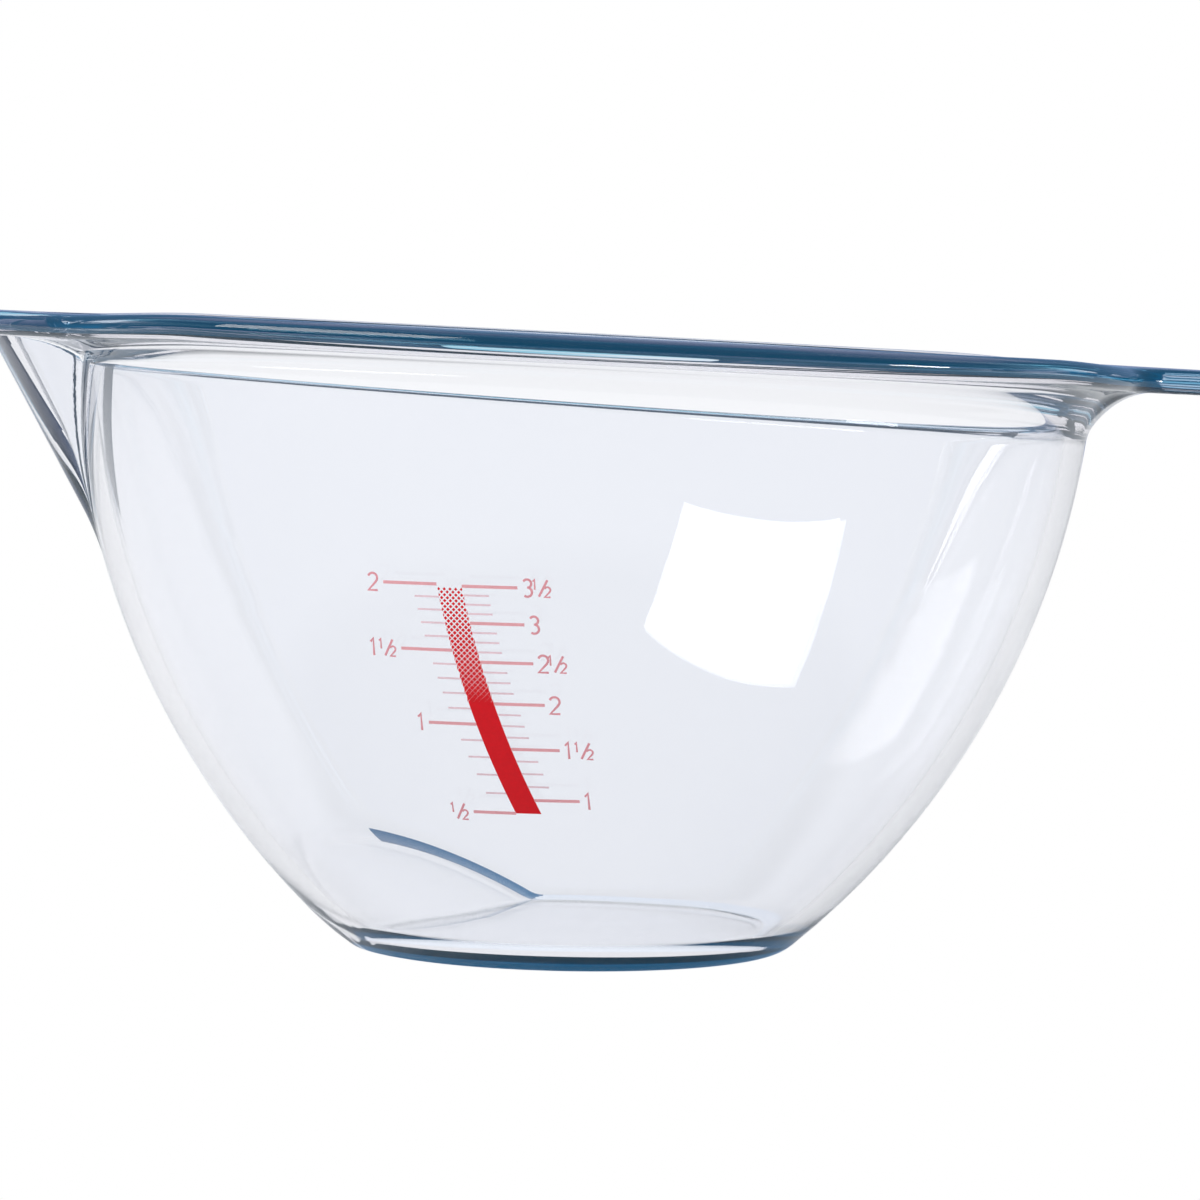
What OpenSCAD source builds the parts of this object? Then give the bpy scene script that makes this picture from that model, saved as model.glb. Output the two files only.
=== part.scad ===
// Pressed glass batter bowl with a pouring spout, a tab handle, a second tilted foot
// for whisking, and a fired red capacity scale on the front of the wall.
// The origin is the centre of the level foot. The handle runs along +X, the spout
// points along -X, the scale is on the -Y side, nearer to the spout, and +Z is up.

/* [Body] */
// Outer radius of the wall at the height where its curve stands upright
body_r = 120.4; // [112:0.2:130]
// Radius of the wall's curve in profile, on the outside
wall_curve_r = 192; // [184:1:204]
// Height over the foot at which the wall's curve stands upright
wall_curve_h = 147; // [143:0.5:152]
// Thickness of the wall
wall_t = 4.8; // [3.5:0.1:6.5]
// Lean of the body towards the handle, in degrees
lean = 1.1; // [0:0.1:2]

/* [Foot] */
// Thickness of the floor over both feet
floor_t = 5.5; // [4:0.1:8]
// Distance from the axis to the ridge between the level foot and the tilted foot
tilt_ridge = 31; // [27:0.5:35]
// Angle between the two feet, in degrees
tilt_angle = 25; // [20:0.5:28]
// Direction in which the tilted foot faces, in degrees from the handle
tilt_way = 146; // [135:1:180]

/* [Rim] */
// Height of the rim's top face over the foot, on the axis
rim_h = 144.7; // [140:0.1:150]
// Outer radius of the rim's flange
rim_r = 133; // [128:0.5:142]
// Thickness of the flange
rim_t = 5.6; // [4.2:0.1:8]
// Fall of the rim from the spout to the handle, in degrees
rim_slope = 1.75; // [0.5:0.05:2.5]
// Radius of the rounding at the rim's inner edge
rim_edge_r = 3; // [1:0.1:4]

/* [Neck] */
// Height over the foot, on the axis, at which the wall starts to flare
neck_h = 126.5; // [122:0.5:130]
// Radius of the hollow curve that runs from the wall into the flange
neck_r = 15.5; // [10:0.5:17]
// Fall of the neck from the spout to the handle, in degrees
neck_slope = 3.8; // [2:0.1:4.5]

/* [Spout] */
// Distance from the axis to the spout's ridge, level with the rim
spout_reach = 144; // [141:0.5:147]
// Height over the foot at which the ridge leaves the wall
spout_root_h = 96; // [92:1:100]
// Half of the angle at which the spout opens, in degrees
spout_spread = 30; // [26:1:34]
// Radius of the spout's lowest point
spout_nose_r = 3; // [2:0.5:6]
// Width of the lip that runs round the spout
spout_lip = 6; // [4:0.5:9]
// Radius of the spout's mouth, level with the rim
spout_mouth_r = 44; // [40:1:50]

/* [Handle] */
// Distance from the axis to the handle's tip
handle_reach = 161; // [152:0.5:172]
// Width of the handle
handle_w = 84; // [60:1:100]
// Radius of the handle's corners
handle_corner_r = 20; // [10:1:28]
// Radius of the hollow curves where the handle meets the rim
handle_root_r = 14; // [8:1:20]

/* [Scale] */
// Turn of the scale from the middle of the side towards the spout, in degrees
scale_turn = 16; // [8:1:24]
// Thickness of the fired enamel
enamel_t = 0.2; // [0.1:0.05:0.4]
// Width of the slanted bar
bar_w = 5.6; // [4:0.1:8]
// Place of the bar's left edge at the top of the scale, to the right of the middle
bar_top_x = -6.2; // [-9:0.1:-3]
// Place of the bar's left edge at the foot of the scale, to the right of the middle
bar_foot_x = 7.8; // [4:0.1:11]
// Height of the part of the bar that fades into dots
bar_fade_h = 26; // [16:1:34]
// Distance between the dots of the fade
dot_pitch = 1.4; // [1.2:0.1:2]
// Thickness of the lines that carry a number
line_t = 0.6; // [0.4:0.05:1]
// Length of the top line
line_len = 12.2; // [9:0.1:15]
// Thickness of the short lines between them
tick_t = 0.35; // [0.2:0.05:0.5]
// Length of the short lines at the top
tick_len = 6; // [4:0.1:8]
// Height of the numerals
numeral_h = 3.8; // [3:0.1:5]
// Thickness of the strokes of the numerals
stroke_t = 0.5; // [0.3:0.05:0.7]
// Gap between a line and its numeral
numeral_gap = 1.6; // [1:0.1:3]

/* [Hidden] */
$fn = 96;

litre = 1000000;
pint = 568261;
wall_steps = 26;
neck_steps = 8;
edge_steps = 5;
arc_step = 20;
search_steps = 24;
// Radius at which the straight sides of the lip touch its rounds, as a share of the rounds' own
tangent_share = 0.999;
// Depth of the centre of the mouth's rounding, as a share of its radius
edge_depth_share = 0.97;
overrun = 10;
space = 2 * (rim_r + handle_reach);

axis_to_curve = body_r - wall_curve_r;
top_h = rim_h + rim_r * tan(rim_slope) + overrun;
// Height of the neck's ring below its start, where it runs into the wall
neck_root_h = 4 * wall_t;

// Radius of the wall at height t, a distance inset under its outer face
function wall_x(t, inset = 0) =
    axis_to_curve + sqrt(pow(wall_curve_r - inset, 2) - pow(wall_curve_h - t, 2));

// Points up the wall from one height to another
function wall_points(low, high, inset = 0) =
    [for (i = [0:wall_steps]) let (t = low + (high - low) * i / wall_steps) [wall_x(t, inset), t]];

// Area under the wall's curve, and the volume of the inside up to height t
function curve_area(u, r) = (u * sqrt(r * r - u * u) + r * r * asin(u / r) * PI / 180) / 2;
function curve_sum(u, r) =
    axis_to_curve * axis_to_curve * u + 2 * axis_to_curve * curve_area(u, r) + r * r * u - u * u * u / 3;
function fill_volume(t) =
    let (r = wall_curve_r - wall_t)
    PI * (curve_sum(t - wall_curve_h, r) - curve_sum(floor_t - wall_curve_h, r));

// Height to which a volume fills the bowl
function fill_h(v, low = floor_t, high = rim_h, n = search_steps) =
    let (mid = (low + high) / 2)
    n == 0 ? mid : fill_volume(mid) < v ? fill_h(v, mid, high, n - 1) : fill_h(v, low, mid, n - 1);

// The body's frame, which leans towards the handle, and the rim's frame on its top face
module leaned() { rotate([0, lean, 0]) children(); }
module on_axis(h, slope) { translate([h * tan(lean), 0, h]) rotate([0, slope, 0]) children(); }
module at_rim() { on_axis(rim_h, rim_slope) children(); }

// Half spaces under the two feet, raised by lift
module under_feet(lift = 0) {
    translate([-space / 2, -space / 2, lift - space]) cube(space);
    rotate([0, 0, tilt_way]) translate([tilt_ridge, 0, 0]) rotate([0, -tilt_angle, 0])
        translate([-space / 2, -space / 2, lift - space]) cube(space);
}

// Solid of revolution of the wall, to its outer face or inset under it
module wall_solid(inset, low, high) {
    leaned() rotate_extrude()
        polygon(concat([[0, high], [0, low]], wall_points(low, high, inset)));
}

// Spout
ridge_root_x = wall_x(spout_root_h) - spout_root_h * tan(lean);
ridge_top_x = spout_reach - rim_h * tan(lean);
ridge_angle = atan((ridge_top_x - ridge_root_x) / (rim_h + spout_reach * tan(rim_slope) - spout_root_h));
spout_rise = 2 * (rim_h - spout_root_h);
lip_r = spout_mouth_r + spout_lip;
lip_x = spout_reach + spout_lip - lip_r;

module spout_cone(inset) {
    start = inset / sin(spout_spread);
    translate([-ridge_root_x, 0, spout_root_h])
        rotate([0, spout_spread - ridge_angle, 0])
            translate([spout_nose_r, 0, start])
                cylinder(r1 = spout_nose_r, r2 = spout_nose_r + spout_rise * tan(spout_spread), h = spout_rise);
}

// Outline of the flange, seen from above
module lip_outline() {
    touch = acos((rim_r - lip_r) / lip_x);
    rim_corner = rim_r * tangent_share * [-cos(touch), sin(touch)];
    lip_corner = lip_r * tangent_share * [-cos(touch), sin(touch)] - [lip_x, 0];
    translate([-lip_x, 0]) circle(r = lip_r);
    polygon([rim_corner, lip_corner, [lip_corner[0], -lip_corner[1]], [rim_corner[0], -rim_corner[1]]]);
}

module handle_outline() {
    side = handle_w / 2;
    corner = handle_reach - handle_corner_r;
    root_y = side + handle_root_r;
    root_x = sqrt(pow(rim_r + handle_root_r, 2) - pow(root_y, 2));
    touch_share = rim_r / (rim_r + handle_root_r);
    translate([0, -side]) square([corner, handle_w]);
    translate([0, handle_corner_r - side]) square([handle_reach, handle_w - 2 * handle_corner_r]);
    for (way = [-1, 1]) {
        translate([corner, way * (side - handle_corner_r)]) circle(r = handle_corner_r);
        difference() {
            polygon([[root_x * touch_share, way * root_y * touch_share], [root_x, way * side],
                     [root_x * touch_share, 0]]);
            translate([root_x, way * root_y]) circle(r = handle_root_r);
        }
    }
}

module flange() {
    at_rim() translate([0, 0, -rim_t]) linear_extrude(rim_t) union() {
        circle(r = rim_r);
        lip_outline();
        handle_outline();
    }
}

// Hollow curve under the flange, deeper at the handle than at the spout
module neck() {
    start = wall_x(neck_h);
    intersection() {
        on_axis(neck_h, neck_slope) rotate_extrude()
            polygon(concat([[start - wall_t, neck_r + overrun], [start - wall_t, -neck_root_h]],
                           [for (i = [0:neck_steps]) let (a = 90 * i / neck_steps)
                               [start + neck_r * (1 - cos(a)), neck_r * sin(a)]],
                           [[start + neck_r, neck_r + overrun]]));
        at_rim() translate([0, 0, -space]) cylinder(r = rim_r, h = space);
    }
}

// Space inside the bowl, with its rounded mouth
module inside() {
    mouth = wall_x(rim_h, wall_t);
    difference() {
        wall_solid(wall_t, 0, top_h);
        under_feet(floor_t);
    }
    at_rim() rotate_extrude()
        polygon(concat([[0, overrun], [0, -rim_edge_r]],
                       [for (i = [0:edge_steps]) let (a = 90 * i / edge_steps)
                           [mouth + rim_edge_r * (1 - cos(a)), rim_edge_r * (sin(a) - edge_depth_share)]],
                       [[mouth + rim_edge_r, overrun]]));
    intersection() {
        spout_cone(wall_t);
        translate([-space, -space / 2, 0]) cube(space);
    }
}

module glass_bowl() {
    color([0.80, 0.90, 0.94, 0.55]) difference() {
        union() {
            difference() {
                wall_solid(0, -overrun, top_h);
                under_feet();
            }
            neck();
            flange();
            spout_cone(0);
        }
        inside();
        at_rim() cylinder(r = space, h = space);
    }
}

// Scale. The marks are drawn on an upright sheet in front of the bowl and cut the enamel from a thin skin.
scale_top = fill_h(2 * litre);
scale_foot = fill_h(litre / 2);
scale_tall = scale_top - scale_foot;
fade_foot = scale_top - bar_fade_h;

function bar_x(t) = bar_top_x + (bar_foot_x - bar_top_x) * (scale_top - t) / scale_tall;
// The print narrows downwards with the wall
function narrow(t) = wall_x(t) / wall_x(scale_top);

module printed() {
    low = scale_foot - numeral_h;
    high = scale_top + numeral_h;
    intersection() {
        leaned() rotate_extrude()
            polygon(concat(wall_points(low, high), [for (p = wall_points(high, low)) p + [enamel_t, 0]]));
        leaned() rotate([0, 0, -scale_turn]) rotate([90, 0, 0]) linear_extrude(body_r + overrun) children();
    }
}

// A line to the left of the bar or to the right of it
module left_line(t, len, thick) {
    translate([bar_x(t) - len * narrow(t), t - thick / 2]) square([len * narrow(t), thick]);
}
module right_line(t, len, thick) {
    translate([bar_x(t) + bar_w, t - thick / 2]) square([len * narrow(t), thick]);
}

module bar_piece(low, high) {
    polygon([[bar_x(low), low], [bar_x(low) + bar_w, low], [bar_x(high) + bar_w, high], [bar_x(high), high]]);
}

// Strokes of the numerals, as shares of their height
function arc_points(centre, r, from, to) =
    [for (a = [from:(to < from ? -arc_step : arc_step):to]) centre + r * [cos(a), sin(a)]];
two_bowl_shares = arc_points([0.28, 0.72], 0.28, 160, -40);
two_foot_shares = [[0.48, 0.53], [0, 0], [0.56, 0]];
three_top_shares = arc_points([0.26, 0.76], 0.24, 150, -90);
three_foot_shares = arc_points([0.26, 0.27], 0.27, 90, -150);
one_flag_shares = [[0.02, 0.78], [0.22, 1], [0.22, 0]];
digit_advance_share = 0.68;
half_share = 0.58;
digit_w_share = 0.55;
half_w_share = 1;
slash_shares = [[0.35, 0.02], [0.85, 0.98]];

module stroke(points, thick) {
    for (i = [1:len(points) - 1]) {
        a = points[i - 1];
        b = points[i];
        translate(a) rotate(atan2(b[1] - a[1], b[0] - a[0]))
            translate([-thick / 2, -thick / 2]) square([norm(b - a) + thick, thick]);
    }
}

module numeral(name, h) {
    thick = stroke_t;
    if (name == "1") stroke(one_flag_shares * h, thick);
    if (name == "2") {
        stroke(two_bowl_shares * h, thick);
        stroke(two_foot_shares * h, thick);
    }
    if (name == "3") {
        stroke(three_top_shares * h, thick);
        stroke(three_foot_shares * h, thick);
    }
    if (name == "h") {
        small = half_share * h;
        translate([0, h - small]) numeral("1", small);
        stroke(slash_shares * h, thick);
        translate([digit_advance_share * h, 0]) numeral("2", small);
    }
}

function name_w(name) = (len(name) - 1) * digit_advance_share + (name[len(name) - 1] == "h" ? half_w_share : digit_w_share);

module label(name, x, t, from_right) {
    start = from_right ? x - name_w(name) * numeral_h : x;
    for (i = [0:len(name) - 1])
        translate([start + i * digit_advance_share * numeral_h, t - numeral_h / 2]) numeral(name[i], numeral_h);
}

litre_marks = [[2, "2"], [1.5, "1h"], [1, "1"], [0.5, "h"]];
pint_marks = [[3.5, "3h"], [3, "3"], [2.5, "2h"], [2, "2"], [1.5, "1h"], [1, "1"]];
tenths_per_half = 5;
eighths_per_half = 4;

module scale_bar() {
    color([0.77, 0.09, 0.12]) printed() bar_piece(scale_foot, fade_foot);
}

// Size of a dot beside the solid bar and how much of it is lost by the top, as shares of the pitch,
// and the places of the dots within their rows, as shares of the distance between them
dot_share = 0.86;
dot_loss_share = 0.4;
even_row_share = 0.3;
odd_row_share = 0.7;
row_middle_share = 0.5;

module scale_fade() {
    rows = floor(bar_fade_h / dot_pitch);
    across = floor(bar_w / dot_pitch);
    color([0.85, 0.35, 0.36]) printed()
        for (row = [0:rows - 1], i = [0:across - 1]) {
            t = fade_foot + (row + row_middle_share) * dot_pitch;
            size = dot_pitch * (dot_share - dot_loss_share * row / rows);
            shift = (i + (row % 2 == 0 ? even_row_share : odd_row_share)) * bar_w / across;
            translate([bar_x(t) + shift, t]) rotate(45) square(size / sqrt(2), center = true);
        }
}

module litre_lines() {
    color([0.84, 0.42, 0.44]) printed()
        for (mark = litre_marks) left_line(fill_h(mark[0] * litre), line_len, line_t);
}

module litre_ticks() {
    color([0.80, 0.60, 0.62]) printed()
        for (i = [tenths_per_half + 1:4 * tenths_per_half - 1])
            if (i % tenths_per_half != 0) left_line(fill_h(i * litre / (2 * tenths_per_half)), tick_len, tick_t);
}

module litre_numerals() {
    color([0.80, 0.36, 0.38]) printed()
        for (mark = litre_marks) {
            t = fill_h(mark[0] * litre);
            label(mark[1], bar_x(t) - line_len * narrow(t) - numeral_gap, t, true);
        }
}

module pint_lines() {
    color([0.80, 0.40, 0.44]) printed()
        for (mark = pint_marks) right_line(fill_h(mark[0] * pint), line_len, line_t);
}

module pint_ticks() {
    color([0.80, 0.60, 0.62]) printed()
        for (i = [2 * eighths_per_half + 1:7 * eighths_per_half - 1])
            if (i % eighths_per_half != 0) right_line(fill_h(i * pint / (2 * eighths_per_half)), tick_len, tick_t);
}

module pint_numerals() {
    color([0.80, 0.36, 0.38]) printed()
        for (mark = pint_marks) {
            t = fill_h(mark[0] * pint);
            label(mark[1], bar_x(t) + bar_w + line_len * narrow(t) + numeral_gap, t, false);
        }
}

glass_bowl();
scale_bar();
scale_fade();
litre_lines();
litre_ticks();
litre_numerals();
pint_lines();
pint_ticks();
pint_numerals();
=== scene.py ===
from math import acos, atan, cos, pi, radians, sin, sqrt, tan

import bmesh
import bpy
import numpy as np
from mathutils import Matrix, Vector


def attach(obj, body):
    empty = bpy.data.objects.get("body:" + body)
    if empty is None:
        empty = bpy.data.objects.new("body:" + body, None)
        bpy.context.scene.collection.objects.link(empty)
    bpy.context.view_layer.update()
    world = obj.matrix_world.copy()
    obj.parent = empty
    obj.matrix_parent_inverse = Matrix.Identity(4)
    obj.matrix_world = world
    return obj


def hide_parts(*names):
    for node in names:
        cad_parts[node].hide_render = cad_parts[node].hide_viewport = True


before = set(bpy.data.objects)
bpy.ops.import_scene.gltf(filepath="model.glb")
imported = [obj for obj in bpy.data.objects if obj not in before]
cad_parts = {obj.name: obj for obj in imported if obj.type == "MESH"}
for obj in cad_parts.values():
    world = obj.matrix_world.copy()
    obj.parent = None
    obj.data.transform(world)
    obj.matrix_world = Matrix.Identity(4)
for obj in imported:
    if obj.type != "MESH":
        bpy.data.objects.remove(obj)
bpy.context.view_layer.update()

scene = bpy.context.scene
mm = 0.001               # the dictionaries hold millimetres, Blender works in metres


def linear(hexColour):   # sRGB hex to the linear colour that a shader takes
    shades = [int(hexColour[i:i + 2], 16) / 255 for i in (1, 3, 5)]
    return [s / 12.92 if s <= 0.04045 else ((s + 0.055) / 1.055) ** 2.4 for s in shades] + [1.0]


def addNode(tree, kind, settings=None, links=None):
    # one node with its settings; an input's name or number takes a value, a link takes (node, output)
    node = tree.nodes.new(kind)
    for name, value in (settings or {}).items():
        if name in node.inputs or isinstance(name, int):
            node.inputs[name].default_value = value
        else:
            setattr(node, name, value)
    for name, (source, output) in (links or {}).items():
        tree.links.new(source.outputs[output], node.inputs[name])
    return node


def smoothMax(a, b, blend):   # the larger of two, rounded where they cross
    h = np.clip(0.5 + 0.5 * (a - b) / blend, 0, 1)
    return b + (a - b) * h + blend * h * (1 - h)


# Glass bowl
bowl = {
    "bodyRadius": 120.4,      # outside of the wall where its curve stands upright
    "curveRadius": 192.0,     # of the wall in profile
    "curveHeight": 147.0,     # over the foot, where the curve stands upright
    "wall": 4.8,              # its thickness
    "lean": 1.1,              # degrees, towards the handle
    "floor": 5.5,             # its thickness
    "ridge": 31.0,            # from the axis to the ridge between the two feet
    "tilt": 25.0,             # degrees between the two feet
    "tiltWay": 146.0,         # degrees from the handle to the way the tilted foot faces
    "paintedShadeEdge": -0.24,        # its edge takes painted dark-blue shade where the sine of the turn from that way is less
    "ridgeBlend": 0.4,        # rounding of the ridge
    "footRound": 3.0,         # length of the rounding at the edge of the foot
    "floorRound": 6.0,        # length of the rounding inside, from wall to floor
    "rimHeight": 145.0,       # on the axis, over the level foot
    "rimRadius": 132.98,
    "rimThickness": 5.6,
    "rimSlope": 1.75,         # degrees, down towards the handle
    "mouthRound": 3.0,        # rounding at the rim's inner edge
    "neckHeight": 131.0,      # of the crease where the neck starts
    "neckWidth": 15.5,        # how far the neck widens at most
    "neckStart": 40.0,        # degrees from upright at which the neck leaves the crease
    "neckSlope": 3.3,         # degrees, down towards the handle
    "neckBlend": 0.8,         # rounding of the crease
    "edgeGap": 0.6,           # between the neck's last ring and the rim's rounded edge
    "cornerRise": 0.75,       # share of a rounding's length that it climbs up the wall
    "spoutReach": 143.4,      # from the axis to the outside of the spout at the rim
    "spoutRoot": 97.0,        # height at which the ridge leaves the wall
    "spoutSpread": 30.0,      # degrees, half of the angle at which the spout opens
    "spoutNose": 3.0,         # radius of the spout's lowest point
    "ridgeShadeWidth": 7.0,        # width of the painted dark-blue shade on the spout's thick ridge, at its root
    "ridgeShadeWidening": 0.06,    # of half of that width with the height
    "spoutDroop": (1.35, 92.0, 124.0),      # how far the rim sinks at the spout, and between which x
    "handleDroop": (1.1, 98.0, 125.0),      # the same at the handle
    "spoutLip": 6.0,          # how far the rim stands out beyond the spout
    "spoutMouth": 44.0,       # radius of the spout at the rim, seen from above
    "spoutBlend": 2.0,        # how softly the spout runs into the wall
    "handleReach": 161.0,     # from the axis to the handle's end
    "handleWidth": 84.0,
    "handleCorner": 20.0,     # radius of the handle's own corners
    "handleRoot": 14.0,       # radius of the corner between handle and rim
    # how fine its mesh is: steps along the outline in millimetres, and rings of each stretch
    "steps": {
        "handleTip": 3.5, "handleCorner": 1.6, "handleSide": 2.5,
        "rim": 2.5, "spoutSide": 1.2, "spoutLip": 0.9,
    },
    "counts": {"foot": 14, "floor": 12, "footCorner": 6, "mouthCorner": 7, "neck": 15, "edge": 13},
    "countsOutside": (0.6, 15, 32),     # share of the wall below the spout, rings there and above
    "countsInside": (0.42, 33, 16),     # share of the wall beside the spout, rings there and below
    "ridgeBand": [-2.4, -1.4, -0.7, 0, 0.7, 1.4, 2.4],      # places of rings across the feet's ridge
    "ridgeShare": 0.94,       # share of the way to the ridge that the rings before it take up
    "beyondRidge": 4,         # millimetres kept for the rings beyond it
}
lean = radians(bowl["lean"])
tilt = radians(bowl["tilt"])
rimFall = tan(radians(bowl["rimSlope"] - bowl["lean"]))      # in the leaning frame of the body
neckFall = tan(radians(bowl["neckSlope"] - bowl["lean"]))
curveCentre = bowl["bodyRadius"] - bowl["curveRadius"]


def wallRadius(t, inset=0.0):
    return curveCentre + np.sqrt((bowl["curveRadius"] - inset) ** 2 - (bowl["curveHeight"] - t) ** 2)


def arc(cx, cy, r, start, end, step):   # points along an arc, without its last one
    count = max(2, round(abs(radians(end - start)) * r / step))
    angles = np.radians(start + (end - start) * np.arange(count) / count)
    return np.stack([cx + r * np.cos(angles), cy + r * np.sin(angles)], 1)


def line(a, b, step):
    count = max(1, round(np.hypot(b[0] - a[0], b[1] - a[1]) / step))
    return np.array(a) + (np.array(b) - np.array(a)) * (np.arange(count) / count)[:, None]


def rimOutline():   # once round from above, with the outward directions
    b, steps = bowl, bowl["steps"]
    side, corner, root = b["handleWidth"] / 2, b["handleCorner"], b["handleRoot"]
    cornerX = b["handleReach"] - corner
    rootY = side + root
    rootX = sqrt((b["rimRadius"] + root) ** 2 - rootY ** 2)
    rootTurn = np.degrees(np.arctan2(rootY, rootX))
    lipR = b["spoutMouth"] + b["spoutLip"]
    lipX = b["spoutReach"] + b["spoutLip"] - lipR
    touch = 180 - np.degrees(acos((b["rimRadius"] - lipR) / lipX))
    rimTouch = b["rimRadius"] * np.array([cos(radians(touch)), sin(radians(touch))])
    lipTouch = lipR * np.array([cos(radians(touch)), sin(radians(touch))]) - [lipX, 0]
    half = np.concatenate([
        line((b["handleReach"], 0), (b["handleReach"], side - corner), steps["handleTip"]),
        arc(cornerX, side - corner, corner, 0, 90, steps["handleCorner"]),
        line((cornerX, side), (rootX, side), steps["handleSide"]),
        arc(rootX, rootY, root, 270, 180 + rootTurn, steps["handleCorner"]),
        arc(0, 0, b["rimRadius"], rootTurn, touch, steps["rim"]),
        line(rimTouch, lipTouch, steps["spoutSide"]),
        arc(-lipX, 0, lipR, touch, 180, steps["spoutLip"]),
    ])
    tip = np.array([[-b["spoutReach"] - b["spoutLip"], 0]])
    points = np.concatenate([half, tip, half[:0:-1] * [1, -1]])
    along = np.roll(points, -1, 0) - np.roll(points, 1, 0)
    outward = np.stack([along[:, 1], -along[:, 0]], 1)
    return points, outward / np.linalg.norm(outward, axis=1)[:, None]


outline, outward = rimOutline()
azimuth = np.arctan2(outline[:, 1], outline[:, 0])
cosine, sine = np.cos(azimuth), np.sin(azimuth)


def spoutRadius(t, inset):   # where a level ray from the axis leaves the spout's cone, else 0
    b = bowl
    rootX = wallRadius(b["spoutRoot"]) - b["spoutRoot"] * tan(lean)
    rise = b["rimHeight"] + b["spoutReach"] * tan(radians(b["rimSlope"])) - b["spoutRoot"]
    ridgeAngle = atan((b["spoutReach"] - b["rimHeight"] * tan(lean) - rootX) / rise)
    turn = radians(b["spoutSpread"]) - ridgeAngle
    spread = tan(radians(b["spoutSpread"]))
    start = inset / sin(radians(b["spoutSpread"]))
    nose = b["spoutNose"]
    ox, oz = t * sin(lean) + rootX, t * cos(lean) - b["spoutRoot"]
    qx, qz = ox * cos(turn) - oz * sin(turn), ox * sin(turn) + oz * cos(turn)
    dx, dz = cosine * cos(lean), -cosine * sin(lean)
    ex, ez = dx * cos(turn) - dz * sin(turn), dx * sin(turn) + dz * cos(turn)
    across, along = qx - nose, nose + (qz - start) * spread
    a = ex ** 2 + sine ** 2 - (ez * spread) ** 2
    k = 2 * (across * ex - along * ez * spread)
    c = across ** 2 - along ** 2
    inside = k ** 2 - 4 * a * c
    r = (-k + np.sqrt(np.maximum(inside, 0))) / (2 * a)
    hit = (inside > 0) & (cosine < 0) & (along + r * ez * spread > 0)
    return np.where(hit, r, 0.0)


def sideRadius(t, inset):    # wall and spout together
    return smoothMax(wallRadius(t, inset), spoutRadius(t, inset), bowl["spoutBlend"])


def footPlanes(lift):        # level foot and tilted foot as t = slopeX * x + slopeY * y + height
    level = (tan(lean), 0.0, lift / cos(lean))
    way = radians(bowl["tiltWay"])
    t = tan(tilt)
    scale = cos(lean) - t * cos(way) * sin(lean)
    return level, ((sin(lean) + t * cos(way) * cos(lean)) / scale, t * sin(way) / scale,
                   (lift / cos(tilt) - t * bowl["ridge"]) / scale)


def footHeight(x, y, lift):
    (a1, b1, h1), (a2, b2, h2) = footPlanes(lift)
    return smoothMax(a1 * x + b1 * y + h1, a2 * x + b2 * y + h2, bowl["ridgeBlend"])


def place(r, t):             # a ring of points at the azimuths of the outline
    return np.stack([r * cosine, r * sine, t + 0 * r], 1)


def roundCorner(before, corner, after, count):   # rings of a soft corner, ends left out
    steps = np.arange(1, count) / count
    return [before * (1 - s) ** 2 + corner * 2 * s * (1 - s) + after * s ** 2 for s in steps]


def footRings(inset, lift, rounding, count):
    # from the centre to the wall: a ring each, the ridge between the feet on rings of its own
    t = np.zeros_like(azimuth)
    for _ in range(60):       # the edge lies where foot and wall meet
        edge = wallRadius(t, inset)
        t = footHeight(edge * cosine, edge * sine, lift)
    (a1, b1, h1), (a2, b2, h2) = footPlanes(lift)
    facing = (a2 - a1) * cosine + (b2 - b1) * sine
    reach = edge - rounding
    crossing = (h1 - h2) / np.maximum(facing, 1e-4)
    middle = np.minimum(crossing, reach - bowl["beyondRidge"])
    band = bowl["ridgeBand"]
    shares = np.linspace(0, 1, count + 1)[1:]
    radii = [middle * s for s in shares[:-1] * bowl["ridgeShare"]] + [middle + n for n in band]
    radii += [middle + band[-1] + (reach - middle - band[-1]) * s for s in shares]
    rings = [place(r, footHeight(r * cosine, r * sine, lift)) for r in radii]
    return rings, place(edge, t), t


def rimTop(x):               # height of the rim's top
    top = bowl["rimHeight"] / cos(lean) - rimFall * x
    for along, (sink, start, end) in ((-x, bowl["spoutDroop"]), (x, bowl["handleDroop"])):
        s = np.clip((along - start) / (end - start), 0, 1)
        top = top - sink * s * s * (3 - 2 * s)
    return top


def onRim(inward, depth):    # points set in from the outline and down from the rim's top
    xy = outline - outward * inward
    return np.stack([xy[:, 0], xy[:, 1], rimTop(xy[:, 0]) - depth], 1)


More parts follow.
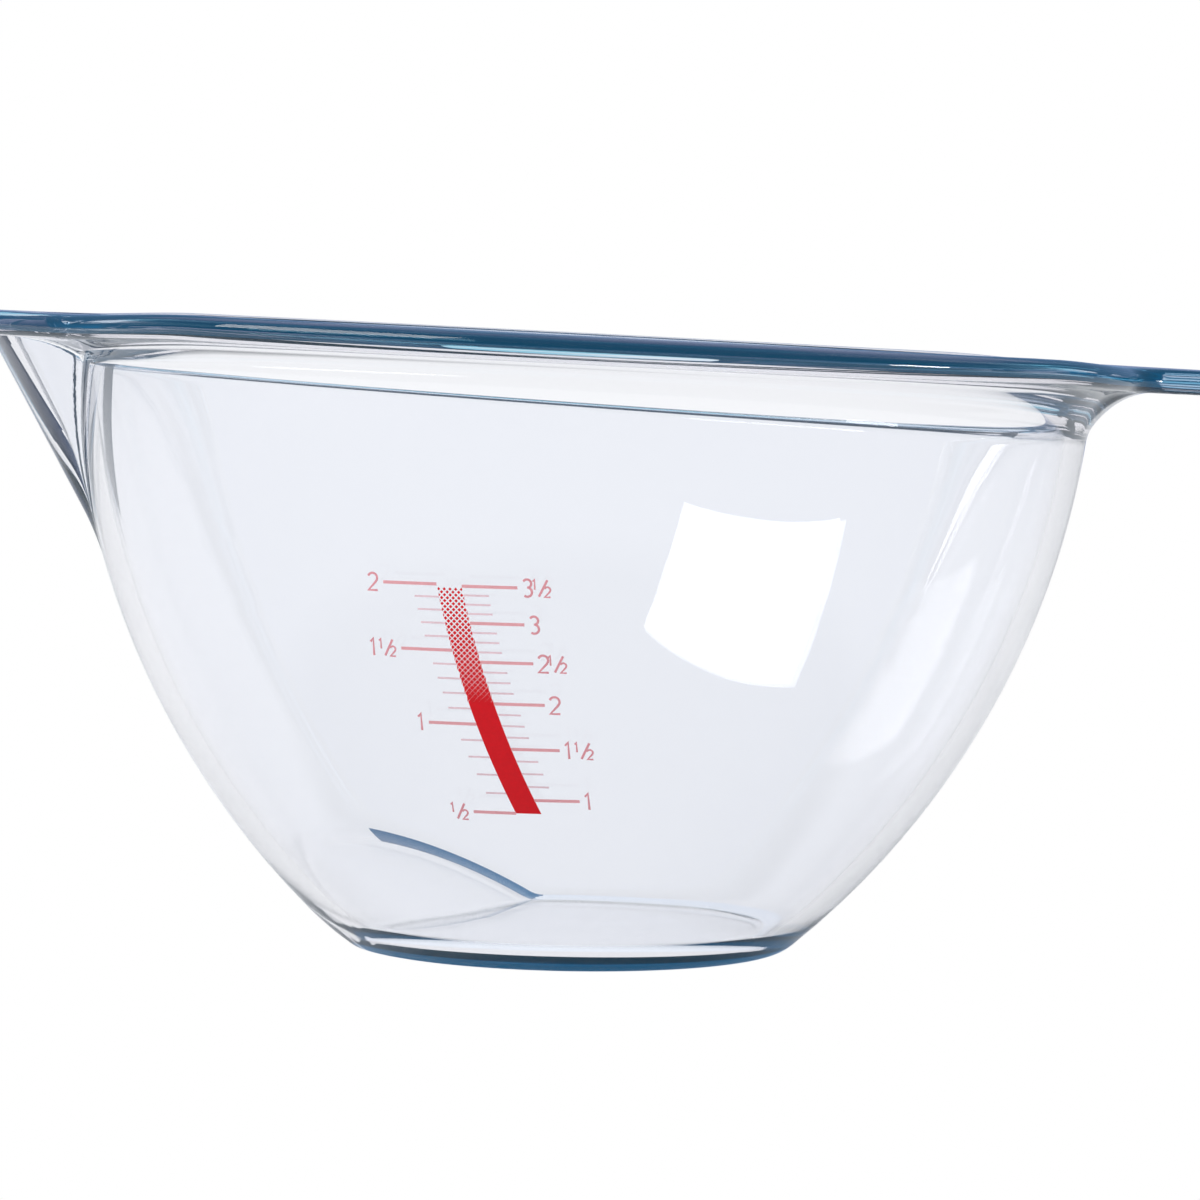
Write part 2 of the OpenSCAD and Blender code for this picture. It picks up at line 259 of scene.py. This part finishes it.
def bowlRings():
    b, counts = bowl, bowl["counts"]
    half = b["rimThickness"] / 2
    rings, corner, t = footRings(0, 0, b["footRound"], counts["foot"])
    footStart = len(rings) - 1
    t = t + b["footRound"] * b["cornerRise"]
    rings += roundCorner(rings[-1], corner, place(sideRadius(t, 0), t), counts["footCorner"])
    wallStart = len(rings)
    neckT = b["neckHeight"] / cos(lean) - neckFall * wallRadius(b["neckHeight"]) * cosine
    neckStart = wallRadius(neckT)
    share, low, high = b["countsOutside"]
    for s in [*np.linspace(0, share, low), *np.linspace(share, 1, high)[1:-1]]:
        level = t + (neckT - t) * s
        rings.append(place(sideRadius(level, 0), level))
    # neck: a hollow curve up to the underside of the flange
    under = rimTop(b["rimRadius"] * cosine) - b["rimThickness"]
    tall = under - neckT
    farthest = np.hypot(outline[:, 0], outline[:, 1]) - half - b["edgeGap"]
    wide = np.minimum(b["neckWidth"], farthest - neckStart)
    first = radians(b["neckStart"])
    for turn in np.linspace(first, pi / 2, counts["neck"]):
        level = neckT + tall * (sin(turn) - sin(first)) / (1 - sin(first))
        hollow = neckStart + wide * (cos(first) - cos(turn)) / cos(first)
        r = np.minimum(smoothMax(hollow, sideRadius(level, 0), b["neckBlend"]), farthest)
        rings.append(place(r, level))
    flangeStart = len(rings)
    # flange: underside, rounded edge and top
    edge = onRim(half, b["rimThickness"])
    rings += [rings[-1] * (1 - s) + edge * s for s in (0.25, 0.5, 0.75)]
    rimStart = len(rings) + 4                    # the lowest part of the edge is as clear as the wall
    for a in np.linspace(0, pi, counts["edge"]):
        rings.append(onRim(half * (1 - sin(a)), half * (1 + cos(a))))
    rimEnd = len(rings) - 1
    mouthT = rimTop(b["bodyRadius"] * cosine)
    mouth = sideRadius(mouthT, b["wall"])
    lipStart = place(mouth + b["mouthRound"], mouthT)
    rings += [rings[-1] * (1 - s) + lipStart * s for s in (0.2, 0.4, 0.6, 0.8, 1.0)]
    inT = mouthT - b["mouthRound"]
    down = place(sideRadius(inT, b["wall"]), inT)
    rings += roundCorner(lipStart, place(mouth, mouthT), down, counts["mouthCorner"])
    # inside: wall down to the floor
    floorRings, corner, t = footRings(b["wall"], b["floor"], b["floorRound"], counts["floor"])
    t = t + b["floorRound"] * b["cornerRise"]
    share, high, low = b["countsInside"]
    for s in [*np.linspace(0, share, high), *np.linspace(share, 1, low)[1:]]:
        level = inT + (t - inT) * s
        rings.append(place(sideRadius(level, b["wall"]), level))
    rings += roundCorner(rings[-1], corner, floorRings[-1], counts["footCorner"])
    spans = {
        "foot": range(footStart, wallStart),
        "wall": range(wallStart, flangeStart),
        "rim": range(rimStart, rimEnd),
    }
    return rings + floorRings[::-1], spans


def upright(points):         # from the leaning frame of the body to the frame it stands in
    turned = points @ np.array([[cos(lean), 0, -sin(lean)], [0, 1, 0], [sin(lean), 0, cos(lean)]])
    return turned * mm


def meshFrom(name, points, faces, smooth=True):
    mesh = bpy.data.meshes.new(name)
    mesh.from_pydata(points.tolist(), [], faces)
    mesh.update()
    if smooth:
        mesh.shade_smooth()
    piece = bpy.data.objects.new(name, mesh)
    scene.collection.objects.link(piece)
    return piece


pressedGlass = {
    "ior": 1.473,             # borosilicate
    "tint": "#DBD6DC",        # what the light keeps on its way through
    "density": 26.0,          # how strongly it loses the rest, per metre
    "waveLength": 30.0,       # of the faint waves that pressing leaves
    "waveDepth": 0.03,
    "paintedStreakAlong": 120.0,     # painted highlights and shade in streaks that run along the rim's edge
    "paintedStreakAcross": 1.5,
    "paintedStreakStops": (0.38, 0.46, 0.55),  # where their colours stand in the noise
    # Clear in the wall. The rim, the spout's ridge and the tilted foot's edge carry painted shade in teal
    # and dark blue, for the light that has come a long way through the glass and for the dark
    # surroundings seen through it.
    # The glow is painted light: it stands for the light that runs round inside the glass and leaves it
    # there.
    "kinds": {
        "wall": {"colours": ["#FBFCFE"], "glow": "#0C4A66", "glowStrength": 0.06},
        "rim": {"colours": ["#3698BC", "#6CC4E0", "#DCF2FA"], "glow": "#08709C", "glowStrength": 0.27},
        "ridge": {"colours": ["#4A7CA6"], "glow": "#0A4A80", "glowStrength": 0.15},
        "foot": {"colours": ["#FBFDFE"], "glow": "#12557C", "glowStrength": 0.6},
        "tilted foot": {"colours": ["#103C68"], "glow": "#0A4A80", "glowStrength": 0.25},
    },
}
kindOf = {name: number for number, name in enumerate(pressedGlass["kinds"])}


def makeBowl():
    rings, spans = bowlRings()
    count = len(azimuth)
    poles = np.array([[0, 0, float(footHeight(np.array(0.0), 0.0, lift))] for lift in (0, bowl["floor"])])
    points = upright(np.concatenate(rings + [poles]))
    faces = []
    for row in range(len(rings) - 1):
        for i in range(count):
            j = (i + 1) % count
            faces.append((row * count + i, row * count + j, (row + 1) * count + j, (row + 1) * count + i))
    last = (len(rings) - 1) * count
    under, inner = len(points) - 2, len(points) - 1
    for i in range(count):
        j = (i + 1) % count
        faces.append((under, i, j)[::-1])
        faces.append((inner, last + i, last + j))
    piece = meshFrom("pressed_glass", points, faces)
    # each edge takes its own kind of glass, which differ in painted shade, painted highlights and painted
    # glow
    (a1, b1, h1), (a2, b2, h2) = footPlanes(0)
    # where the tilted foot's edge takes painted dark-blue shade: on one side of the way that foot faces
    paintedShade = np.sin(azimuth - radians(bowl["tiltWay"])) < bowl["paintedShadeEdge"]
    for part, span in spans.items():
        for row in span:
            x, y, level = rings[row].T
            if part == "foot":
                tilted = (a2 - a1) * x + (b2 - b1) * y + h2 - h1 > 0
                side = np.where(paintedShade, kindOf["tilted foot"], kindOf["wall"])
                kind = np.where(tilted, side, kindOf["foot"])
            elif part == "wall":
                # the spout's ridge is painted dark blue for shade, in a strip that widens upwards
                onSpout = (x < 0) & (np.hypot(x, y) > wallRadius(level) + bowl["spoutBlend"] / 3)
                wide = bowl["ridgeShadeWidth"] / 2 + bowl["ridgeShadeWidening"] * (level - bowl["spoutRoot"])
                kind = np.where(onSpout & (np.abs(y) < wide), kindOf["ridge"], kindOf["wall"])
            else:
                kind = np.full(count, kindOf["rim"])
            for face, index in zip(piece.data.polygons[row * count:(row + 1) * count], kind):
                face.material_index = int(index)
    return piece


def borosilicateGlass(name, look):
    # pressed and fire polished: clear and mirror smooth, with faint waves that bend what shows through
    mat = bpy.data.materials.new(name)
    mat.use_nodes = True
    tree = mat.node_tree
    tree.nodes.clear()
    where = addNode(tree, "ShaderNodeTexCoord")
    wave = addNode(tree, "ShaderNodeTexNoise",
                   {"Scale": 1 / (pressedGlass["waveLength"] * mm), "Detail": 1.0},
                   {"Vector": (where, "Object")})
    bump = addNode(tree, "ShaderNodeBump", {"Strength": 1.0, "Distance": pressedGlass["waveDepth"] * mm},
                   {"Height": (wave, 0)})
    # its base colour carries the kind's painted shade, and its emission is painted glow
    surface = addNode(tree, "ShaderNodeBsdfPrincipled", {
        "Base Color": linear(look["colours"][0]),
        "Roughness": 0.0,
        "IOR": pressedGlass["ior"],
        "Transmission Weight": 1.0,
        "Emission Color": linear(look["glow"]),
        "Emission Strength": look["glowStrength"],
    }, {"Normal": (bump, 0)})
    if len(look["colours"]) > 1:
        # painted highlights and shade in streaks along the rim, which slopes
        along = pressedGlass["paintedStreakAlong"] * mm
        stretch = addNode(tree, "ShaderNodeMapping", {
            "vector_type": "TEXTURE",
            "Rotation": (0, radians(bowl["rimSlope"]), 0),
            "Scale": (along, along, pressedGlass["paintedStreakAcross"] * mm),
        }, {"Vector": (where, "Object")})
        noise = addNode(tree, "ShaderNodeTexNoise", {"Scale": 1.0, "Detail": 2.0},
                        {"Vector": (stretch, 0)})
        ramp = addNode(tree, "ShaderNodeValToRGB", links={0: (noise, 0)})
        ramp.color_ramp.elements.new(0.5)
        stops = zip(ramp.color_ramp.elements, pressedGlass["paintedStreakStops"], look["colours"])
        for stop, share, colour in stops:
            stop.position = share
            stop.color = linear(colour)
        tree.links.new(ramp.outputs[0], surface.inputs["Base Color"])
    tint = addNode(tree, "ShaderNodeVolumeAbsorption",
                   {"Color": linear(pressedGlass["tint"]), "Density": pressedGlass["density"]})
    addNode(tree, "ShaderNodeOutputMaterial", links={"Surface": (surface, 0), "Volume": (tint, 0)})
    return mat


glass = makeBowl()
for name, look in pressedGlass["kinds"].items():
    glass.data.materials.append(borosilicateGlass("borosilicate glass of the " + name, look))
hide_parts("glass_bowl")
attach(glass, "root")
print("glass bowl:", len(glass.data.polygons), "faces")


# Printed scale
enamel = {
    "turn": 16.0,             # degrees from the middle of the side towards the spout
    "barWidth": 5.6,
    "barTop": -6.2,           # place of the bar's left edge at the top
    "barFoot": 7.8,           # and at the foot of the scale
    "barBend": 1.35,          # how far the bar bends to the left between them
    "fadeTall": 26.0,
    "rowPitch": 0.64,         # half of the distance between two diamonds of a row
    "lowHalf": 0.63,          # half of a diamond's diagonal beside the solid bar
    "topHalf": 0.38,
    "line": 0.7,              # thickness of the lines that carry a number
    "lineLength": 12.2,       # of the top line
    "tick": 0.42,
    "tickLength": 5.6,
    "numeral": 3.8,           # height
    "stroke": 0.5,
    # shares of that height: from one numeral to the next, how wide each is, and the half's own figures
    "numeralStep": 0.56,
    "numeralWidth": {"1": 0.3, "2": 0.56, "3": 0.53, "h": 1.0},
    "halfFigure": 0.58,       # height of its 1 and 2
    "halfStep": 0.68,         # from its left to its 2
    "halfStroke": 0.8,        # stroke of its 1 and 2, as a share of a whole numeral's
    "litreGap": 1.4,          # between a line and its numeral
    "pintGap": 1.1,
    "proud": 0.07,            # how far the enamel stands out of the glass
    "sunk": 0.05,             # and how deep it is fired in
    "least": 0.2,             # a diamond cut narrower than this is left out
    "mitre": 1.6,             # longest mitre of a stroke, in half strokes
    "barRed": "#C40012",
    "lineRed": "#D2969C",     # the thinner the print, the paler it looks
    "numeralRed": "#CC8A92",
    "tickRed": "#D4B8C0",
    "roughness": 0.5,
    "grain": 0.8,             # of the film; that of a real screen is too fine to show, so this is coarser
    "grainDepth": 0.01,
}


def firedEnamel(name, colour):
    # screen printed and fired on: satin red, its film slightly uneven
    mat = bpy.data.materials.new(name)
    mat.use_nodes = True
    tree = mat.node_tree
    tree.nodes.clear()
    where = addNode(tree, "ShaderNodeTexCoord")
    film = addNode(tree, "ShaderNodeTexNoise", {"Scale": 1 / (enamel["grain"] * mm), "Detail": 2.0},
                   {"Vector": (where, "Object")})
    light = addNode(tree, "ShaderNodeMapRange", {"To Min": 0.88, "To Max": 1.1}, {"Value": (film, 0)})
    shade = addNode(tree, "ShaderNodeHueSaturation", {"Color": linear(colour)}, {"Value": (light, 0)})
    bump = addNode(tree, "ShaderNodeBump", {"Strength": 0.6, "Distance": enamel["grainDepth"] * mm},
                   {"Height": (film, 0)})
    surface = addNode(tree, "ShaderNodeBsdfPrincipled",
                      {"Roughness": enamel["roughness"], "IOR": 1.5, "Specular IOR Level": 0.2},
                      {"Base Color": (shade, 0), "Normal": (bump, 0)})
    addNode(tree, "ShaderNodeOutputMaterial", links={"Surface": (surface, 0)})
    return mat


litre, pint = 1e6, 568261.0   # cubic millimetres
litreMarks = {2.0: "2", 1.5: "1h", 1.0: "1", 0.5: "h"}       # "h" is the half
pintMarks = {3.5: "3h", 3.0: "3", 2.5: "2h", 2.0: "2", 1.5: "1h", 1.0: "1"}
litreTicks = [k / 10 for k in range(6, 20) if k % 5]         # every tenth between the numerals
pintTicks = [k / 8 for k in range(9, 28) if k % 4]           # and every eighth


def fillVolume(t):            # volume of the inside up to height t
    levels = np.linspace(bowl["floor"], t, 200)
    area = pi * wallRadius(levels, bowl["wall"]) ** 2
    return float(np.sum((area[1:] + area[:-1]) / 2 * np.diff(levels)))


def fillHeight(volume):       # height up to which the bowl holds the volume
    low, high = bowl["floor"], bowl["rimHeight"]
    for _ in range(24):
        middle = (low + high) / 2
        low, high = (middle, high) if fillVolume(middle) < volume else (low, middle)
    return middle


scaleTop, scaleFoot = fillHeight(2 * litre), fillHeight(litre / 2)
fadeFoot = scaleTop - enamel["fadeTall"]


def barLeft(t):
    down = (scaleTop - t) / (scaleTop - scaleFoot)
    straight = enamel["barTop"] + (enamel["barFoot"] - enamel["barTop"]) * down
    return straight - 4 * enamel["barBend"] * down * (1 - down)


def onWall(x, t, proud):      # a point of the flat drawing, laid on the wall of the standing bowl
    turn = -radians(enamel["turn"])
    level = t
    for _ in range(3):
        back = -sqrt((float(wallRadius(level)) + proud) ** 2 - x ** 2)
        level = t + (x * cos(turn) - back * sin(turn)) * tan(lean)
    return [x * cos(turn) - back * sin(turn), x * sin(turn) + back * cos(turn), level]


def addSkin(skin, grid):      # a grid of flat points becomes a thin closed skin
    points, faces = skin
    rows, columns = len(grid), len(grid[0])
    start, size = len(points), rows * columns
    for proud in (-enamel["sunk"], enamel["proud"]):
        points.extend(onWall(x, t, proud) for row in grid for x, t in row)
    for r in range(rows - 1):
        for a in range(start + r * columns, start + (r + 1) * columns - 1):
            quad = (a, a + 1, a + columns + 1, a + columns)
            faces.append(quad)
            faces.append(tuple(v + size for v in quad))
    index = np.arange(start, start + size).reshape(rows, columns)
    rim = [*index[0], *index[1:, -1], *index[-1, -2::-1], *index[-2:0:-1, 0]]
    faces.extend((int(a), int(b), int(b) + size, int(a) + size) for a, b in zip(rim, rim[1:] + rim[:1]))


def addLine(skin, start, end, t, thick):
    xs = np.linspace(start, end, 2 + int(abs(end - start) / 3))          # steps of 3 mm at most
    addSkin(skin, [[(x, t + side * thick / 2) for x in xs] for side in (-1, 1)])


def addStroke(skin, path, thick):       # a bent stroke, mitred at its corners
    path = np.array(path)
    along = np.diff(path, axis=0)
    normal = np.stack([-along[:, 1], along[:, 0]], 1) / np.linalg.norm(along, axis=1)[:, None]
    before, after = np.vstack([normal[:1], normal]), np.vstack([normal, normal[-1:]])
    mitre = (before + after) / (1 + np.sum(before * after, axis=1))[:, None]
    long = np.linalg.norm(mitre, axis=1)[:, None]
    mitre = mitre / long * np.minimum(long, enamel["mitre"])
    addSkin(skin, [[tuple(p - m * thick / 2), tuple(p + m * thick / 2)] for p, m in zip(path, mitre)])


# Strokes of the numerals and the slash, as shares of their height
strokes = {
    "1": [[(0.04, 0.80), (0.22, 1), (0.22, 0)]],
    "2": [np.vstack([arc(0.28, 0.72, 0.28, 160, -40, 0.1), [(0.45, 0.48), (0, 0), (0.56, 0)]])],
    "3": [arc(0.26, 0.76, 0.24, 150, -90, 0.1), arc(0.26, 0.27, 0.27, 90, -150, 0.1)],
    "/": [[(0.35, 0.02), (0.85, 0.98)]],
}


def addNumeral(skin, name, x, t, height, thick):    # x and t of its lower left corner
    if name == "h":
        small, thin = enamel["halfFigure"] * height, enamel["halfStroke"] * thick
        addNumeral(skin, "1", x, t + height - small, small, thin)
        addNumeral(skin, "/", x, t, height, thick)
        addNumeral(skin, "2", x + enamel["halfStep"] * height, t, small, thin)
        return
    for path in strokes[name]:
        addStroke(skin, np.array(path) * height + [x, t], thick)


def addName(skin, name, x, t, toTheLeft):
    height = enamel["numeral"]
    step = enamel["numeralStep"] * height
    start = x - toTheLeft * ((len(name) - 1) * step + enamel["numeralWidth"][name[-1]] * height)
    for k, numeral in enumerate(name):
        addNumeral(skin, numeral, start + k * step, t - height / 2, height, enamel["stroke"])


def addFade(skin):            # a fine lattice of diamonds that shrink upwards, cut off at the bar's edges
    pitch = enamel["rowPitch"]
    rows = int(enamel["fadeTall"] / pitch)
    for row in range(rows):
        t = fadeFoot + row * pitch
        reach = enamel["lowHalf"] + (enamel["topHalf"] - enamel["lowHalf"]) * row / (rows - 1)
        left, right = barLeft(t), barLeft(t) + enamel["barWidth"]
        shift = (row % 2) * pitch
        first = shift + 2 * pitch * np.ceil((left - reach - shift) / (2 * pitch))
        for x in np.arange(first, right + reach, 2 * pitch):
            ways = ((-reach, 0), (0, -reach), (0, reach), (reach, 0))
            corners = [(min(max(x + dx, left), right), t + dt) for dx, dt in ways]
            if corners[3][0] - corners[0][0] > enamel["least"]:
                addSkin(skin, [corners[:2], corners[2:]])


def makePrint(node, mat, draw):
    skin = ([], [])
    draw(skin)
    piece = meshFrom(node + "_enamel", upright(np.array(skin[0])), skin[1], smooth=False)
    shape = bmesh.new()
    shape.from_mesh(piece.data)
    bmesh.ops.recalc_face_normals(shape, faces=shape.faces)
    shape.to_mesh(piece.data)
    piece.data.materials.append(mat)
    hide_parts(node)
    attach(piece, "root")


def drawBar(skin):
    addSkin(skin, [[(barLeft(t) + enamel["barWidth"] * s, t) for s in (0, 0.5, 1)]
                   for t in np.linspace(scaleFoot, fadeFoot, 16)])


def narrowed(length, t):      # the print narrows downwards with the wall
    return length * float(wallRadius(t) / wallRadius(scaleTop))


def drawMarks(marks, unit, onTheLeft, kind):         # its kind is line or tick
    def draw(skin):
        for mark in marks:
            t = fillHeight(mark * unit)
            reach = narrowed(enamel[kind + "Length"], t)
            start = barLeft(t) if onTheLeft else barLeft(t) + enamel["barWidth"]
            addLine(skin, start, start - reach if onTheLeft else start + reach, t, enamel[kind])
    return draw


def drawNames(marks, unit, onTheLeft, gap):
    def draw(skin):
        for mark, name in marks.items():
            t = fillHeight(mark * unit)
            reach = narrowed(enamel["lineLength"], t) + enamel[gap]
            x = barLeft(t) - reach if onTheLeft else barLeft(t) + enamel["barWidth"] + reach
            addName(skin, name, x, t, onTheLeft)
    return draw


barRed = firedEnamel("fired red enamel", enamel["barRed"])
lineRed = firedEnamel("fired enamel of the lines", enamel["lineRed"])
numeralRed = firedEnamel("fired enamel of the numerals", enamel["numeralRed"])
tickRed = firedEnamel("fired enamel of the ticks", enamel["tickRed"])
makePrint("scale_bar", barRed, drawBar)
makePrint("scale_fade", barRed, addFade)
makePrint("litre_lines", lineRed, drawMarks(litreMarks, litre, True, "line"))
makePrint("litre_ticks", tickRed, drawMarks(litreTicks, litre, True, "tick"))
makePrint("litre_numerals", numeralRed, drawNames(litreMarks, litre, True, "litreGap"))
makePrint("pint_lines", lineRed, drawMarks(pintMarks, pint, False, "line"))
makePrint("pint_ticks", tickRed, drawMarks(pintTicks, pint, False, "tick"))
makePrint("pint_numerals", numeralRed, drawNames(pintMarks, pint, False, "pintGap"))
print("printed scale")


# Floor, world and light
studio = {
    "floorSize": 6.0,         # metres
    "floorGap": 0.2,          # millimetres that it lies under the foot
    "floorColour": "#F4F5F7",
    "white": "#FFFFFF",       # what the camera sees behind the bowl
    "light": 1.0,             # strength of the even light from all round
    "whiteBelow": 0.50,       # the glass sees white up to this share of the way overhead
    "darkAbove": 0.60,        # and the ceiling from this share on
    "ceiling": "#20262E",
    "mirrored": "#8496BA",    # what its faces mirror
}


def makeFloor():
    half = studio["floorSize"] / 2
    points = np.array([[-half, -half, 0], [half, -half, 0], [half, half, 0], [-half, half, 0]])
    floor = meshFrom("floor", points, [(0, 1, 2, 3)], smooth=False)
    floor.location.z = -studio["floorGap"] * mm
    # uncoated paper off the roll: matt, and plain white to the camera and through the glass
    mat = bpy.data.materials.new("white studio paper")
    mat.use_nodes = True
    tree = mat.node_tree
    tree.nodes.clear()
    ray = addNode(tree, "ShaderNodeLightPath")
    seen = addNode(tree, "ShaderNodeMath", {"operation": "MAXIMUM"},
                   {0: (ray, "Is Camera Ray"), 1: (ray, "Is Transmission Ray")})
    paper = addNode(tree, "ShaderNodeBsdfPrincipled",
                    {"Base Color": linear(studio["floorColour"]), "Roughness": 0.9})
    white = addNode(tree, "ShaderNodeEmission", {"Color": linear(studio["white"]), "Strength": 1.0})
    both = addNode(tree, "ShaderNodeMixShader", links={0: (seen, 0), 1: (paper, 0), 2: (white, 0)})
    addNode(tree, "ShaderNodeOutputMaterial", links={"Surface": (both, 0)})
    floor.data.materials.append(mat)


def makeWorld():
    world = bpy.data.worlds.new("studio")
    scene.world = world
    world.use_nodes = True
    tree = world.node_tree
    tree.nodes.clear()
    ray = addNode(tree, "ShaderNodeLightPath")
    where = addNode(tree, "ShaderNodeTexCoord")
    height = addNode(tree, "ShaderNodeSeparateXYZ", links={0: (where, "Generated")})
    ramp = addNode(tree, "ShaderNodeValToRGB", links={0: (height, 2)})
    ramp.color_ramp.elements[0].position = studio["whiteBelow"]
    ramp.color_ramp.elements[0].color = linear(studio["white"])
    ramp.color_ramp.elements[1].position = studio["darkAbove"]
    ramp.color_ramp.elements[1].color = linear(studio["ceiling"])
    plain = addNode(tree, "ShaderNodeBackground", {"Strength": studio["light"]})
    mirrored = addNode(tree, "ShaderNodeBackground", {"Color": linear(studio["mirrored"])})
    through = addNode(tree, "ShaderNodeBackground", links={"Color": (ramp, 0)})
    white = addNode(tree, "ShaderNodeBackground", {"Color": linear(studio["white"])})
    first = addNode(tree, "ShaderNodeMixShader",
                    links={0: (ray, "Is Glossy Ray"), 1: (plain, 0), 2: (mirrored, 0)})
    second = addNode(tree, "ShaderNodeMixShader",
                     links={0: (ray, "Is Transmission Ray"), 1: (first, 0), 2: (through, 0)})
    third = addNode(tree, "ShaderNodeMixShader",
                    links={0: (ray, "Is Camera Ray"), 1: (second, 0), 2: (white, 0)})
    addNode(tree, "ShaderNodeOutputWorld", links={"Surface": (third, 0)})


# Two softboxes: one high on the left, which shows in the far wall, and one low on the right for the rim.
# Size and distance are in metres, the angles in degrees, the energy in watts.
softboxes = {
    "high": {
        "size": (1.22, 0.56), "distance": 1.5,
        "azimuth": -149.0, "elevation": 38.0, "roll": 5.5,
        "energy": 13.0,
    },
    "low": {
        "size": (0.36, 0.10), "distance": 1.5,
        "azimuth": -27.0, "elevation": 0.5, "roll": 0.0,
        "energy": 5.0,
    },
}
softboxAim = Vector((0, 0, 0.09))


def makeSoftbox(name, box):
    lamp = bpy.data.lights.new(name + " softbox", "AREA")
    lamp.shape = "RECTANGLE"
    lamp.size, lamp.size_y = box["size"]
    lamp.energy = box["energy"]
    holder = bpy.data.objects.new(name + " softbox", lamp)
    scene.collection.objects.link(holder)
    az, el = radians(box["azimuth"]), radians(box["elevation"])
    way = Vector((cos(az) * cos(el), sin(az) * cos(el), sin(el)))
    holder.location = softboxAim + way * box["distance"]
    facing = way.to_track_quat("Z", "Y").to_matrix()         # an area lamp shines along its own -Z
    holder.rotation_euler = (facing @ Matrix.Rotation(radians(box["roll"]), 3, "Z")).to_euler()


makeFloor()
makeWorld()
for name, box in softboxes.items():
    makeSoftbox(name, box)
scene.view_settings.view_transform = "Standard"
print("floor, world and softboxes")

# Camera, on the photo's viewpoint
view = {
    "turn": -4.0,             # degrees round the bowl, from its side
    "pitch": 3.282,           # degrees that it looks down
    "roll": 1.2,
    "distance": 1.2,          # metres from the axis
    "across": 0.0078,         # metres to the right of it
    "eye": 0.151,             # metres over the floor
    "focalPixels": 5070.5,    # focal length in pixels of the picture
    "pictureWidth": 1200.0,
    "sensor": 36.0,           # millimetres
}


def makeCamera():
    cam = bpy.data.cameras.new("camera")
    cam.sensor_width = view["sensor"]
    cam.lens = view["focalPixels"] / view["pictureWidth"] * cam.sensor_width
    eye = bpy.data.objects.new("camera", cam)
    scene.collection.objects.link(eye)
    turn = Matrix.Rotation(radians(view["turn"]), 3, "Z")
    eye.location = turn @ Vector((view["across"], -view["distance"], view["eye"]))
    tip = Matrix.Rotation(radians(90 - view["pitch"]), 3, "X")
    roll = Matrix.Rotation(radians(view["roll"]), 3, "Z")
    eye.rotation_euler = (turn @ tip @ roll).to_euler()
    scene.camera = eye


makeCamera()
print("camera")
